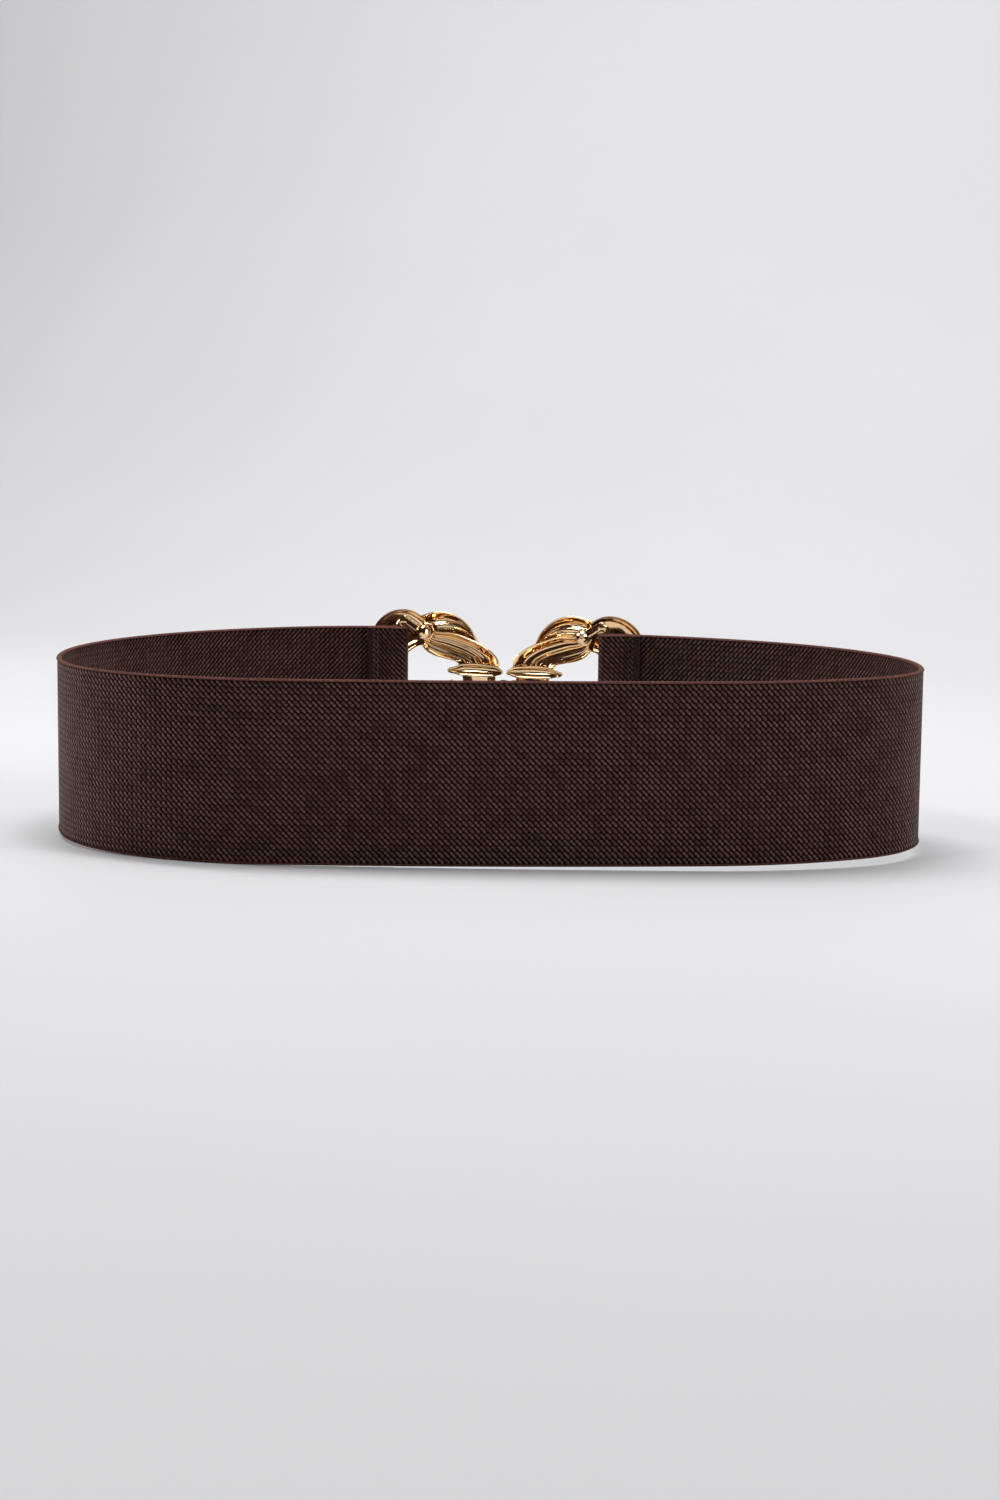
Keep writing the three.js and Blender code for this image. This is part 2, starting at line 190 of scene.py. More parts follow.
def choose(piece, kind, test):
    """Selects the faces, edges or vertices that pass the test, and nothing else."""
    mesh = edit(piece, kind)
    items = {"FACE": mesh.faces, "EDGE": mesh.edges, "VERT": mesh.verts}[kind]
    for item in items:
        item.select_set(bool(test(item)))
    mesh.select_flush_mode()
    bmesh.update_edit_mesh(piece.data)


def done():
    bpy.ops.object.mode_set(mode="OBJECT")


def settle(piece):
    """Applies what the object carries, so that its place is in its mesh."""
    pick(piece)
    bpy.ops.object.transform_apply(location=True, rotation=True, scale=True)


def add(piece, kind, **values):
    modifier = piece.modifiers.new(kind.title(), kind)
    for key, value in values.items():
        setattr(modifier, key, value)
    return modifier


def repeat(piece, count, step):
    add(piece, "ARRAY", count=count, use_relative_offset=False, use_constant_offset=True,
        constant_offset_displace=step)


def apply_all(piece):
    pick(piece)
    for modifier in list(piece.modifiers):
        bpy.ops.object.modifier_apply(modifier=modifier.name)


def face_out(piece):
    edit(piece, "VERT")
    bpy.ops.mesh.select_all(action="SELECT")
    bpy.ops.mesh.remove_doubles(threshold=1e-6)
    bpy.ops.mesh.normals_make_consistent(inside=False)
    done()


def smooth(piece, degrees=None):
    """Smooth shading, all over or only across edges flatter than an angle."""
    pick(piece)
    if degrees is None:
        bpy.ops.object.shade_smooth()
    else:
        bpy.ops.object.shade_smooth_by_angle(angle=math.radians(degrees))


def copy_of(piece, name):
    pick(piece)
    bpy.ops.object.duplicate(linked=False)
    return fresh(name)


def mirror(piece, axis):
    """Turns the piece into its mirror image in the plane through the origin across an axis."""
    pick(piece)
    scale = [1, 1, 1]
    scale["XYZ".index(axis)] = -1
    piece.scale = scale
    settle(piece)
    face_out(piece)
    return piece


def united(pieces, name):
    """One solid from several that overlap."""
    first, rest = pieces[0], pieces[1:]
    group = bpy.data.collections.new(name + "_parts")
    for piece in rest:
        group.objects.link(piece)
    add(first, "BOOLEAN", operation="UNION", operand_type="COLLECTION", collection=group,
        solver="EXACT")
    apply_all(first)
    for piece in rest:
        bpy.data.objects.remove(piece)
    bpy.data.collections.remove(group)
    pick(first)
    return fresh(name)


# Band's line

def walk(steps, finest):
    """Points with headings along straight and bent steps, each bend in chords of a small turn."""
    x = y = heading = 0.0
    points = [(x, y, heading)]
    for length, turn in steps:
        count = max(1, math.ceil(abs(turn) / finest), math.ceil(length / 0.004))
        for _ in range(count):
            half = turn / count / 2
            chord = length / count * (math.sin(half) / half if half else 1)
            heading += half
            x += chord * math.cos(heading)
            y += chord * math.sin(heading)
            heading += half
            points.append((x, y, heading))
    return points


def tab_steps():
    """The folded end: round the bar, slanting down to the band, and on along it to the cut."""
    layers = BAND_THICKNESS + LAYER_GAP
    drop = FOLD_RADIUS * (1 + math.cos(TAB_SLANT)) - layers
    ease = FOLD_RADIUS * (1 - math.cos(TAB_SLANT))
    slope = (drop - ease) / math.sin(TAB_SLANT)
    used = FOLD_REACH + slope * math.cos(TAB_SLANT)
    return [
        (FOLD_RADIUS * (math.pi + TAB_SLANT), math.pi + TAB_SLANT),
        (slope, 0),
        (FOLD_RADIUS * TAB_SLANT, -TAB_SLANT),
        (TAB_LENGTH - used, 0),
    ]


def main_steps(tightness):
    bent = BAND_LENGTH - 2 * TAB_STRAIGHT
    bends = [(share * bent, math.radians(turn) * tightness) for share, turn in BENDS]
    return [(TAB_STRAIGHT, 0), *bends, (TAB_STRAIGHT, 0)]


def bar_at(point):
    x, y, heading = point
    return Vector((x - FOLD_RADIUS * math.sin(heading), y + FOLD_RADIUS * math.cos(heading)))


def tightness():
    """How much of the listed turns brings the two bars to their real distance."""
    low, high = 0.5, 1.25
    for _ in range(50):
        middle = (low + high) / 2
        line = walk(main_steps(middle), BAND_CHORD)
        if (bar_at(line[0]) - bar_at(line[-1])).length > BAR_SPAN:
            low = middle
        else:
            high = middle
    return (low + high) / 2


def moved(line, start, end):
    """The line carried along, as one piece, so that its point start falls on end."""
    turn = end[2] - start[2]
    c, s = math.cos(turn), math.sin(turn)
    return [
        (end[0] + (x - start[0]) * c - (y - start[1]) * s,
         end[1] + (x - start[0]) * s + (y - start[1]) * c,
         heading + turn)
        for x, y, heading in line
    ]


def band_line():
    """The middle of the webbing from one cut end to the other, in the upright frame."""
    tab = tab_steps()
    before = walk(tab[::-1], TAB_CHORD)
    middle = walk(main_steps(tightness()), BAND_CHORD)
    after = walk(tab, TAB_CHORD)
    line = moved(before, before[-1], middle[0]) + middle[1:]
    line += moved(after, after[0], middle[-1])[1:]
    left, right = bar_at(middle[0]), bar_at(middle[-1])
    centre, chord = (left + right) / 2, right - left
    start = (centre.x, centre.y, math.atan2(chord.y, chord.x))
    return moved(line, start, (0, 0, 0))


LINE = band_line()
TAB_RUN = sum(length for length, _ in tab_steps())
FLAT_LENGTH = BAND_LENGTH + 2 * TAB_RUN
ROWS = int((BAND_WIDTH - 2 * SELVEDGE) / ROW_PITCH)
COLUMNS = int((FLAT_LENGTH - BARE_ENDS) / FLOAT_PITCH)
FIRST_COLUMN = (FLAT_LENGTH - (COLUMNS - 1) * FLOAT_PITCH) / 2
FIRST_ROW = (BAND_WIDTH - (ROWS - 1) * ROW_PITCH) / 2


def band_curve():
    data = bpy.data.curves.new("band_line", "CURVE")
    data.dimensions = "2D"
    data.fill_mode = "NONE"
    spline = data.splines.new("POLY")
    spline.points.add(len(LINE) - 1)
    for point, (x, y, _) in zip(spline.points, LINE):
        point.co = (x, y, 0, 1)
    curve = bpy.data.objects.new("band_line", data)
    bpy.context.scene.collection.objects.link(curve)
    return curve


# Materials

def new_material(name):
    material = bpy.data.materials.new(name)
    material.use_nodes = True
    nodes = material.node_tree.nodes
    links = material.node_tree.links
    return material, nodes, links, nodes["Principled BSDF"]


def node(nodes, kind, **inputs):
    made = nodes.new(kind)
    for key, value in inputs.items():
        if hasattr(made, key):
            setattr(made, key, value)
        else:
            made.inputs[key.replace("_", " ")].default_value = value
    return made


def ramp(nodes, stops):
    made = nodes.new("ShaderNodeValToRGB")
    elements = made.color_ramp.elements
    while len(elements) < len(stops):
        elements.new(0.5)
    for element, (at, colour) in zip(elements, stops):
        element.position = at
        element.color = (*colour, 1)
    return made


def wave_of(nodes, links, vector, direction, turns):
    """A cosine that repeats a number of times over each step in a direction of the weave."""
    along = node(nodes, "ShaderNodeVectorMath", operation="DOT_PRODUCT")
    links.new(vector.outputs[0], along.inputs[0])
    along.inputs[1].default_value = direction
    angle = node(nodes, "ShaderNodeMath", operation="MULTIPLY")
    links.new(along.outputs["Value"], angle.inputs[0])
    angle.inputs[1].default_value = 2 * math.pi * turns
    wave = node(nodes, "ShaderNodeMath", operation="COSINE")
    links.new(angle.outputs[0], wave.inputs[0])
    return wave


def yarn_material():
    """Float yarns: each cell a little different in tone, with painted shade where they dip and full tone
    on their crowns.
    """
    material, nodes, links, shader = new_material("yarn")
    uv = nodes.new("ShaderNodeUVMap")
    uv.uv_map = "flat"
    start = node(nodes, "ShaderNodeVectorMath", operation="SUBTRACT")
    start.inputs[1].default_value = (FIRST_COLUMN, FIRST_ROW, 0)
    links.new(uv.outputs[0], start.inputs[0])
    middle = node(nodes, "ShaderNodeVectorMath", operation="ADD")
    middle.inputs[1].default_value = (FLOAT_PITCH / 2, ROW_PITCH / 2, 0)
    links.new(start.outputs[0], middle.inputs[0])
    cell = node(nodes, "ShaderNodeVectorMath", operation="SNAP")
    cell.inputs[1].default_value = (FLOAT_PITCH, ROW_PITCH, 1)
    links.new(middle.outputs[0], cell.inputs[0])
    chance = node(nodes, "ShaderNodeTexWhiteNoise", noise_dimensions="2D")
    links.new(cell.outputs[0], chance.inputs["Vector"])
    patches = node(nodes, "ShaderNodeTexNoise", Scale=90.0, Detail=3.0)
    links.new(uv.outputs[0], patches.inputs["Vector"])
    blend = node(nodes, "ShaderNodeMath", operation="MULTIPLY_ADD")
    links.new(chance.outputs["Value"], blend.inputs[0])
    blend.inputs[1].default_value = 0.5
    links.new(patches.outputs["Fac"], blend.inputs[2])
    tones = ramp(nodes, [
        (0.35, (0.066, 0.025, 0.021)),
        (0.6, (0.100, 0.044, 0.038)),
        (0.9, (0.165, 0.086, 0.074)),
    ])
    links.new(blend.outputs[0], tones.inputs[0])
    # Painted shade: the colour falls towards near-black across the gaps between floats and at the notch
    # along each one; the same level also drives the knob bump.
    crown = wave_of(nodes, links, start, (1 / FLOAT_PITCH, 1 / ROW_PITCH, 0), 1)
    notch = wave_of(nodes, links, start, (0.5 / FLOAT_PITCH, -0.5 / ROW_PITCH, 0), 2)
    height = node(nodes, "ShaderNodeMath", operation="MULTIPLY_ADD")
    links.new(notch.outputs[0], height.inputs[0])
    height.inputs[1].default_value = -0.45
    links.new(crown.outputs[0], height.inputs[2])
    level = node(nodes, "ShaderNodeMapRange")
    level.inputs["From Min"].default_value = -0.4
    level.inputs["From Max"].default_value = 1.35
    links.new(height.outputs[0], level.inputs["Value"])
    colour = node(nodes, "ShaderNodeMix", data_type="RGBA")
    links.new(level.outputs[0], colour.inputs["Factor"])
    # the painted shade colour in the dips
    colour.inputs[6].default_value = (0.014, 0.0035, 0.0025, 1)
    links.new(tones.outputs[0], colour.inputs[7])
    links.new(colour.outputs[2], shader.inputs["Base Color"])
    slant = node(nodes, "ShaderNodeMapping")
    slant.inputs["Rotation"].default_value = (0, 0, math.atan2(ROW_PITCH, FLOAT_PITCH))
    links.new(uv.outputs[0], slant.inputs["Vector"])
    strands = node(nodes, "ShaderNodeTexWave", bands_direction="Y", Scale=900.0, Distortion=1.5,
                   Detail=2.0, Detail_Scale=2.0)
    links.new(slant.outputs[0], strands.inputs["Vector"])
    knobs = node(nodes, "ShaderNodeBump", Strength=0.4, Distance=0.0002)
    links.new(level.outputs[0], knobs.inputs["Height"])
    bump = node(nodes, "ShaderNodeBump", Strength=0.5, Distance=0.00008)
    links.new(strands.outputs["Fac"], bump.inputs["Height"])
    links.new(knobs.outputs[0], bump.inputs["Normal"])
    links.new(bump.outputs[0], shader.inputs["Normal"])
    shader.inputs["Roughness"].default_value = 0.5
    shader.inputs["Specular IOR Level"].default_value = 0.35
    shader.inputs["Specular Tint"].default_value = (1, 0.72, 0.66, 1)
    shader.inputs["Sheen Weight"].default_value = 0.1
    shader.inputs["Sheen Roughness"].default_value = 0.4
    shader.inputs["Sheen Tint"].default_value = (0.9, 0.42, 0.36, 1)
    return material


def ground_material():
    """The tight ground of the webbing, near-black between the floats as painted shade, and plain yarn
    colour along its selvedges.
    """
    material, nodes, links, shader = new_material("ground")
    uv = nodes.new("ShaderNodeUVMap")
    uv.uv_map = "flat"
    height = nodes.new("ShaderNodeSeparateXYZ")
    links.new(uv.outputs[0], height.inputs[0])
    off = node(nodes, "ShaderNodeMath", operation="SUBTRACT")
    links.new(height.outputs["Y"], off.inputs[0])
    off.inputs[1].default_value = MID_HEIGHT
    far = node(nodes, "ShaderNodeMath", operation="ABSOLUTE")
    links.new(off.outputs[0], far.inputs[0])
    edge = node(nodes, "ShaderNodeMapRange")
    edge.inputs["From Min"].default_value = MID_HEIGHT - SELVEDGE - 0.0003
    edge.inputs["From Max"].default_value = MID_HEIGHT - SELVEDGE + 0.0001
    links.new(far.outputs[0], edge.inputs["Value"])
    fibres = node(nodes, "ShaderNodeMapping")
    fibres.inputs["Scale"].default_value = (1100, 1600, 1)
    links.new(uv.outputs[0], fibres.inputs["Vector"])
    fuzz = node(nodes, "ShaderNodeTexNoise", Scale=1.0, Detail=4.0)
    links.new(fibres.outputs[0], fuzz.inputs["Vector"])
    cord = ramp(nodes, [(0.3, (0.050, 0.016, 0.013)), (0.7, (0.165, 0.068, 0.052))])
    links.new(fuzz.outputs["Fac"], cord.inputs[0])
    colour = node(nodes, "ShaderNodeMix", data_type="RGBA")
    links.new(edge.outputs[0], colour.inputs["Factor"])
    # near-black painted shade for the ground in the gaps between the floats
    colour.inputs[6].default_value = (0.007, 0.002, 0.0015, 1)
    links.new(cord.outputs[0], colour.inputs[7])
    links.new(colour.outputs[2], shader.inputs["Base Color"])
    bump = node(nodes, "ShaderNodeBump", Strength=0.9, Distance=0.0002)
    links.new(fuzz.outputs["Fac"], bump.inputs["Height"])
    links.new(bump.outputs[0], shader.inputs["Normal"])
    shader.inputs["Roughness"].default_value = 0.8
    shader.inputs["Specular IOR Level"].default_value = 0.1
    shader.inputs["Sheen Weight"].default_value = 0.04
    shader.inputs["Sheen Roughness"].default_value = 0.5
    shader.inputs["Sheen Tint"].default_value = (0.85, 0.5, 0.45, 1)
    return material


def thread_material():
    """Twisted sewing thread, a little redder than the webbing."""
    material, nodes, links, shader = new_material("sewing_thread")
    place = nodes.new("ShaderNodeTexCoord")
    twist = node(nodes, "ShaderNodeTexNoise", Scale=2600.0, Detail=2.0)
    links.new(place.outputs["Object"], twist.inputs["Vector"])
    tones = ramp(nodes, [(0.3, (0.050, 0.018, 0.022)), (0.7, (0.150, 0.064, 0.074))])
    links.new(twist.outputs["Fac"], tones.inputs[0])
    links.new(tones.outputs[0], shader.inputs["Base Color"])
    bump = node(nodes, "ShaderNodeBump", Strength=0.4, Distance=0.00005)
    links.new(twist.outputs["Fac"], bump.inputs["Height"])
    links.new(bump.outputs[0], shader.inputs["Normal"])
    shader.inputs["Roughness"].default_value = 0.55
    return material


def gold_material():
    """Polished plating over a casting: slight waves, and faint dulling in patches."""
    material, nodes, links, shader = new_material("gold_plating")
    place = nodes.new("ShaderNodeTexCoord")
    haze = node(nodes, "ShaderNodeTexNoise", Scale=140.0, Detail=4.0)
    links.new(place.outputs["Object"], haze.inputs["Vector"])
    dull = node(nodes, "ShaderNodeMapRange")
    dull.inputs["To Min"].default_value = 0.05
    dull.inputs["To Max"].default_value = 0.13
    links.new(haze.outputs["Fac"], dull.inputs["Value"])
    links.new(dull.outputs[0], shader.inputs["Roughness"])
    tones = ramp(nodes, [(0.3, (0.95, 0.64, 0.34)), (0.7, (0.98, 0.71, 0.43))])
    links.new(haze.outputs["Fac"], tones.inputs[0])
    links.new(tones.outputs[0], shader.inputs["Base Color"])
    waves = node(nodes, "ShaderNodeTexNoise", Scale=260.0, Detail=2.0)
    links.new(place.outputs["Object"], waves.inputs["Vector"])
    bump = node(nodes, "ShaderNodeBump", Strength=0.25, Distance=0.0003)
    links.new(waves.outputs["Fac"], bump.inputs["Height"])
    links.new(bump.outputs[0], shader.inputs["Normal"])
    shader.inputs["Metallic"].default_value = 1
    return material


def stage_material():
    """Plain pale paper."""
    material, nodes, links, shader = new_material("paper")
    place = nodes.new("ShaderNodeTexCoord")
    grain = node(nodes, "ShaderNodeTexNoise", Scale=3.0, Detail=2.0)
    links.new(place.outputs["Object"], grain.inputs["Vector"])
    tones = ramp(nodes, [(0.3, (0.615, 0.62, 0.635)), (0.7, (0.635, 0.64, 0.655))])
    links.new(grain.outputs["Fac"], tones.inputs[0])
    links.new(tones.outputs[0], shader.inputs["Base Color"])
    shader.inputs["Roughness"].default_value = 0.7
    return material


YARN = yarn_material()
GROUND = ground_material()
THREAD = thread_material()
GOLD = gold_material()
PAPER = stage_material()


def finish_piece(piece, material, nodes, crease=None):
    """Gives a piece its smoothing, material and body, and hides the CAD nodes that it stands for."""
    settle(piece)
    smooth(piece, crease)
    piece.data.materials.clear()
    piece.data.materials.append(material)
    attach(piece, "root")
    if nodes:
        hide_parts(*nodes)
    return piece


# Woven band

def lay_flat_map(piece):
    """Keeps each point's place along and across the flat webbing as a UV map."""
    layer = piece.data.uv_layers.get("flat") or piece.data.uv_layers.new(name="flat")
    mesh = piece.data
    for loop in mesh.loops:
        co = mesh.vertices[loop.vertex_index].co
        layer.data[loop.index].uv = (co.x, co.z)
    for other in [u for u in mesh.uv_layers if u.name != "flat"]:
        mesh.uv_layers.remove(other)


def bend_along(piece, curve):
    """Bends a flat piece round the loop and stands it in the row's frame."""
    add(piece, "CURVE", object=curve, deform_axis="POS_X")
    apply_all(piece)
    piece.data.transform(STAND)


def shape_ends(piece):
    """Draws the sewn lines in and lets the hems beside the cut ends puff out, on the outer side."""
    for vertex in piece.data.vertices:
        along = min(vertex.co.x, FLAT_LENGTH - vertex.co.x)
        if along < 2 * STITCH_PLACE and vertex.co.y < 0:
            dip = math.exp(-((along - STITCH_PLACE) / STITCH_REACH) ** 2)
            puff = math.sin(math.pi * min(along / STITCH_PLACE, 1))
            vertex.co.y += STITCH_DIP * dip - HEM_PUFF * puff


def band_core(curve):
    """The webbing itself, with round selvedges and a ground that lies a little lower between them."""
    bpy.ops.mesh.primitive_cube_add(
        size=1, location=(FLAT_LENGTH / 2, 0, MID_HEIGHT),
        scale=(FLAT_LENGTH, BAND_THICKNESS, BAND_WIDTH))
    piece = fresh("elastic_webbing")
    settle(piece)
    choose(piece, "EDGE", lambda e: abs(e.verts[0].co.x - e.verts[1].co.x) > FLAT_LENGTH / 2)
    bpy.ops.mesh.bevel(offset=BAND_THICKNESS * 0.48, segments=5, affect="EDGES")
    lip = 0.0004
    for level in (SELVEDGE, SELVEDGE + lip, BAND_WIDTH - SELVEDGE - lip, BAND_WIDTH - SELVEDGE):
        choose(piece, "FACE", lambda f: True)
        bpy.ops.mesh.bisect(plane_co=(0, 0, level), plane_no=(0, 0, 1))
    inside = MID_HEIGHT - SELVEDGE - lip / 2
    for side in (-1, 1):
        choose(piece, "VERT", lambda v: abs(v.co.z - MID_HEIGHT) < inside and v.co.y * side > 0)
        bpy.ops.transform.translate(value=(0, -side * GROUND_DEPTH, 0))
    # one call makes no more than 100 cuts, so the length is cut twice over
    for cuts in (49, 25):
        choose(piece, "EDGE", lambda e: abs(e.verts[0].co.x - e.verts[1].co.x) > 1e-4)
        bpy.ops.mesh.subdivide(number_cuts=cuts)
    done()
    shape_ends(piece)
    lay_flat_map(piece)
    bend_along(piece, curve)
    return finish_piece(piece, GROUND, ["elastic_band"], 40)


def weave_float(side):
    """One plump slanted float, domed outwards from the ground on one side of the webbing."""
    bpy.ops.mesh.primitive_uv_sphere_add(segments=10, ring_count=6, radius=1)
    piece = fresh("float")
    edit(piece)
    bpy.ops.mesh.select_all(action="SELECT")
    bpy.ops.mesh.bisect(plane_co=(0, 0, 0), plane_no=(0, 0, 1), clear_inner=True)
    choose(piece, "VERT", lambda v: 0.6 < v.co.z < 0.95)
    bpy.ops.mesh.dissolve_verts()
    done()
    for vertex in piece.data.vertices:
        for axis in (0, 1):
            vertex.co[axis] = math.copysign(abs(vertex.co[axis]) ** FLOAT_ROUNDNESS, vertex.co[axis])
    piece.scale = (FLOAT_LENGTH / 2, FLOAT_WIDTH / 2, GROUND_DEPTH)
    piece.rotation_euler = (0, 0, -math.atan2(ROW_PITCH, FLOAT_PITCH))
    settle(piece)
    piece.rotation_euler = (math.radians(90), 0, 0)
    settle(piece)
    if side > 0:
        piece.scale = (1, -1, 1)
        settle(piece)
        edit(piece)
        bpy.ops.mesh.select_all(action="SELECT")
        bpy.ops.mesh.flip_normals()
        done()
    return piece


def weave(name, side, rows, first_row, curve):
    """Rows of floats along the whole webbing, on its outer side (-1) or its inner side (1)."""
    piece = weave_float(side)
    ground = BAND_THICKNESS / 2 - GROUND_DEPTH
    place = (FIRST_COLUMN, side * ground, FIRST_ROW + first_row * ROW_PITCH)
    piece.data.transform(Matrix.Translation(place))
    repeat(piece, COLUMNS, (FLOAT_PITCH, 0, 0))
    repeat(piece, rows, (0, 0, ROW_PITCH))
    apply_all(piece)
    fresh(name)
    lay_flat_map(piece)
    shape_ends(piece)
    bend_along(piece, curve)
    return finish_piece(piece, YARN, [])


def straight_stitches(name, run, curve):
    """A line of lockstitches across the band, on the outer side of the folded end."""
    bpy.ops.mesh.primitive_uv_sphere_add(segments=8, ring_count=6, radius=1)
    piece = fresh(name)
    piece.scale = STITCH_RADII
    settle(piece)
    piece.data.transform(Matrix.Translation((run, -BAND_THICKNESS / 2 + 0.00005, STITCH_START)))
    repeat(piece, STITCH_COUNT, (0, 0, STITCH_PITCH))
    apply_all(piece)
    lay_flat_map(piece)
    shape_ends(piece)
    bend_along(piece, curve)
    return finish_piece(piece, THREAD, [])


def overlock(name, end, inwards, curve):
    """Thread that wraps the cut end: a row of slanted loops over the raw edge."""
    bpy.ops.mesh.primitive_torus_add(
        major_segments=16, minor_segments=6, major_radius=1, minor_radius=0.1,
        rotation=(math.radians(90), 0, 0))
    piece = fresh(name)
    settle(piece)
    piece.scale = (OVERLOCK_REACH / 2, 1, 1)
    piece.data.transform(Matrix.Rotation(math.radians(90), 4, "X"))
    piece.data.transform(Matrix.Diagonal((1, BAND_THICKNESS / 2 + OVERLOCK_PROUD, OVERLOCK_LOOP, 1)))
    settle(piece)
    for vertex in piece.data.vertices:
        vertex.co.z += inwards * vertex.co.x * OVERLOCK_SLANT
    middle = end + inwards * (OVERLOCK_REACH / 2 - 0.0002)
    piece.data.transform(Matrix.Translation((middle, 0, OVERLOCK_START)))
    repeat(piece, OVERLOCK_COUNT, (0, 0, OVERLOCK_PITCH))
    apply_all(piece)
    lay_flat_map(piece)
    bend_along(piece, curve)
    return finish_piece(piece, THREAD, [])


# Buckle

def stand(piece):
    """Stands a piece of the buckle, drawn about the middle of the band, in the row's frame."""
    piece.data.transform(STAND @ Matrix.Translation((0, 0, MID_HEIGHT)))


def spline_points(rows, count):
    """Even points along a smooth line through the rows of an edge."""
    knots = [Vector((u * HALF_LENGTH, v * HALF_RISE)) for u, v in rows]
    dense = []
    for i in range(len(knots) - 1):
        p0 = knots[i - 1] if i else knots[i]
        p1, p2 = knots[i], knots[i + 1]
        p3 = knots[i + 2] if i + 2 < len(knots) else p2
        v0, v1 = (p2 - p0) * 0.5, (p3 - p1) * 0.5
        cubic = 2 * p1 - 2 * p2 + v0 + v1
        square = -3 * p1 + 3 * p2 - 2 * v0 - v1
        for k in range(24):
            t = k / 24
            dense.append(cubic * t ** 3 + square * t * t + v0 * t + p1)
    dense.append(knots[-1])
    lengths = [0.0]
    for a, b in zip(dense, dense[1:]):
        lengths.append(lengths[-1] + (b - a).length)
    points, j = [], 0
    for i in range(count + 1):
        want = lengths[-1] * i / count
        while j < len(lengths) - 2 and lengths[j + 1] < want:
            j += 1
        span = lengths[j + 1] - lengths[j]
        points.append(dense[j].lerp(dense[j + 1], (want - lengths[j]) / span if span else 0))
    return points


def cast_leaf(row):
    """A cast leaf: a curved wall between two edges, with a flat rim and a fluted hollow."""
    along, across = row["along"], row["across"]
    bpy.ops.mesh.primitive_grid_add(
        x_subdivisions=along, y_subdivisions=across, size=1, location=(0.5, 0.5, 0))
    piece = fresh(row["name"])
    settle(piece)
    edit(piece)
    bpy.ops.mesh.select_all(action="SELECT")
    bpy.ops.mesh.extrude_region_move(TRANSFORM_OT_translate={"value": (0, 0, 1)})
    done()
    upper, lower = spline_points(row["upper"], along), spline_points(row["lower"], along)
    for vertex in piece.data.vertices:
        s, t, face = vertex.co
        i = round(s * along)
        wide = max((upper[i] - lower[i]).length, 1e-5)
        rim = min(RIM / wide, 0.4)
        # rows close up at the rims, so that the lip of the casting stays crisp
        t = 0.5 - 0.5 * math.cos(math.pi * t) if row["flutes"] == 1 else t
        at = upper[i].lerp(lower[i], t)
        if face < 0.5:
            t = min(max((t - rim) / (1 - 2 * rim), 0), 1)
        arch = math.sin(math.pi * t) ** (0.7 if face < 0.5 else 0.6)
        share = t ** row.get("bias", 1)
        crease = 0.5 + 0.5 * math.cos(2 * math.pi * row["flutes"] * share) if row["flutes"] > 1 else 0
        ends = row.get("ends", 0.45)
        swell = ends + (1 - ends) * math.sin(math.pi * s) ** 0.6
        relief = row["lift"] + row.get("tuck", 0) * s ** 8
        relief += row["crown"] * swell * (arch - CREASE_DEPTH * crease * arch)
        vertex.co = (at.x, CAST_BACK + relief * CAST_CROWN + CAST_WALL * face, at.y)
    face_out(piece)
    add(piece, "SUBSURF", levels=1, render_levels=1)
    apply_all(piece)
    return piece


def boss():
    """The round post behind a leaf that carries a leg of the wire bar."""
    height = CAST_BACK + CAST_WALL + CAST_CROWN / 2 - BOSS_FACE
    bpy.ops.mesh.primitive_cylinder_add(
        vertices=40, radius=BOSS_RADIUS + 0.0007, depth=height,
        location=(BOSS_U, BOSS_FACE + height / 2, BOSS_V), rotation=(math.radians(90), 0, 0))
    piece = fresh("boss")
    settle(piece)
    choose(piece, "FACE", lambda f: f.normal.y < -0.9)
    bpy.ops.mesh.bevel(offset=0.0006, segments=3, affect="EDGES")
    choose(piece, "FACE", lambda f: f.normal.y < -0.99)
    bpy.ops.mesh.inset(thickness=0.0004)
    bpy.ops.transform.translate(value=(0, 0.0002, 0))
    done()
    return piece


def cut_slot(neck):
    """The slot through the left half's neck that holds the hook's lip."""
    bpy.ops.mesh.primitive_cube_add(
        size=1, location=(SLOT_MIDDLE, CAST_BACK, 0),
        scale=(SLOT_LENGTH, 0.03, HOOK_LIP_HEIGHT + 2 * SEAT_GAP))
    cutter = fresh("slot")
    settle(cutter)
    add(neck, "BOOLEAN", operation="DIFFERENCE", object=cutter, solver="EXACT")
    apply_all(neck)
    bpy.data.objects.remove(cutter)


def cast_half(name, side):
    """One half of the buckle: a quarter of leaves, its mirror below, and the leaves that cross both."""
    quarter = [cast_leaf(row) for row in LEAVES] + [boss()]
    lower = [mirror(copy_of(piece, piece.name + "_low"), "Z") for piece in quarter]
    cross = [cast_leaf(row) for row in CROSS_LEAVES]
    if side < 0:
        cut_slot(cross[-1])
    half = united(quarter + lower + cross, name)
    if side < 0:
        mirror(half, "X")
    stand(half)
    node_name = "buckle_half_left" if side < 0 else "buckle_half_right"
    return finish_piece(half, GOLD, [node_name], 38)


def wire(name):
    """Round wire through the fold, with an elbow at each end."""
    over = MID_HEIGHT + SEAT_GAP + BAR_RADIUS
    bar = BAR_SPAN / 2
    data = bpy.data.curves.new(name, "CURVE")
    data.dimensions = "3D"
    data.bevel_depth = BAR_RADIUS
    data.bevel_resolution = 6
    data.use_fill_caps = True
    spline = data.splines.new("POLY")
    leg = [(bar - FOLD_REACH + BAR_LOOSENESS, over + BAR_RISE)]
    for k in range(9):
        angle = math.radians(90 - 90 * k / 8)
        inwards = ELBOW_RADIUS * (1 - math.cos(angle))
        downwards = ELBOW_RADIUS * (1 - math.sin(angle))
        leg.append((bar - inwards, over + BAR_RISE - downwards))
    points = leg + [(u, -v) for u, v in leg[::-1]]
    spline.points.add(len(points) - 1)
    for point, (u, v) in zip(spline.points, points):
        point.co = (u, 0, v, 1)
    piece = bpy.data.objects.new(name, data)
    bpy.context.scene.collection.objects.link(piece)
    pick(piece)
    bpy.ops.object.convert(target="MESH")
    piece = fresh(name)
    face_out(piece)
    return piece


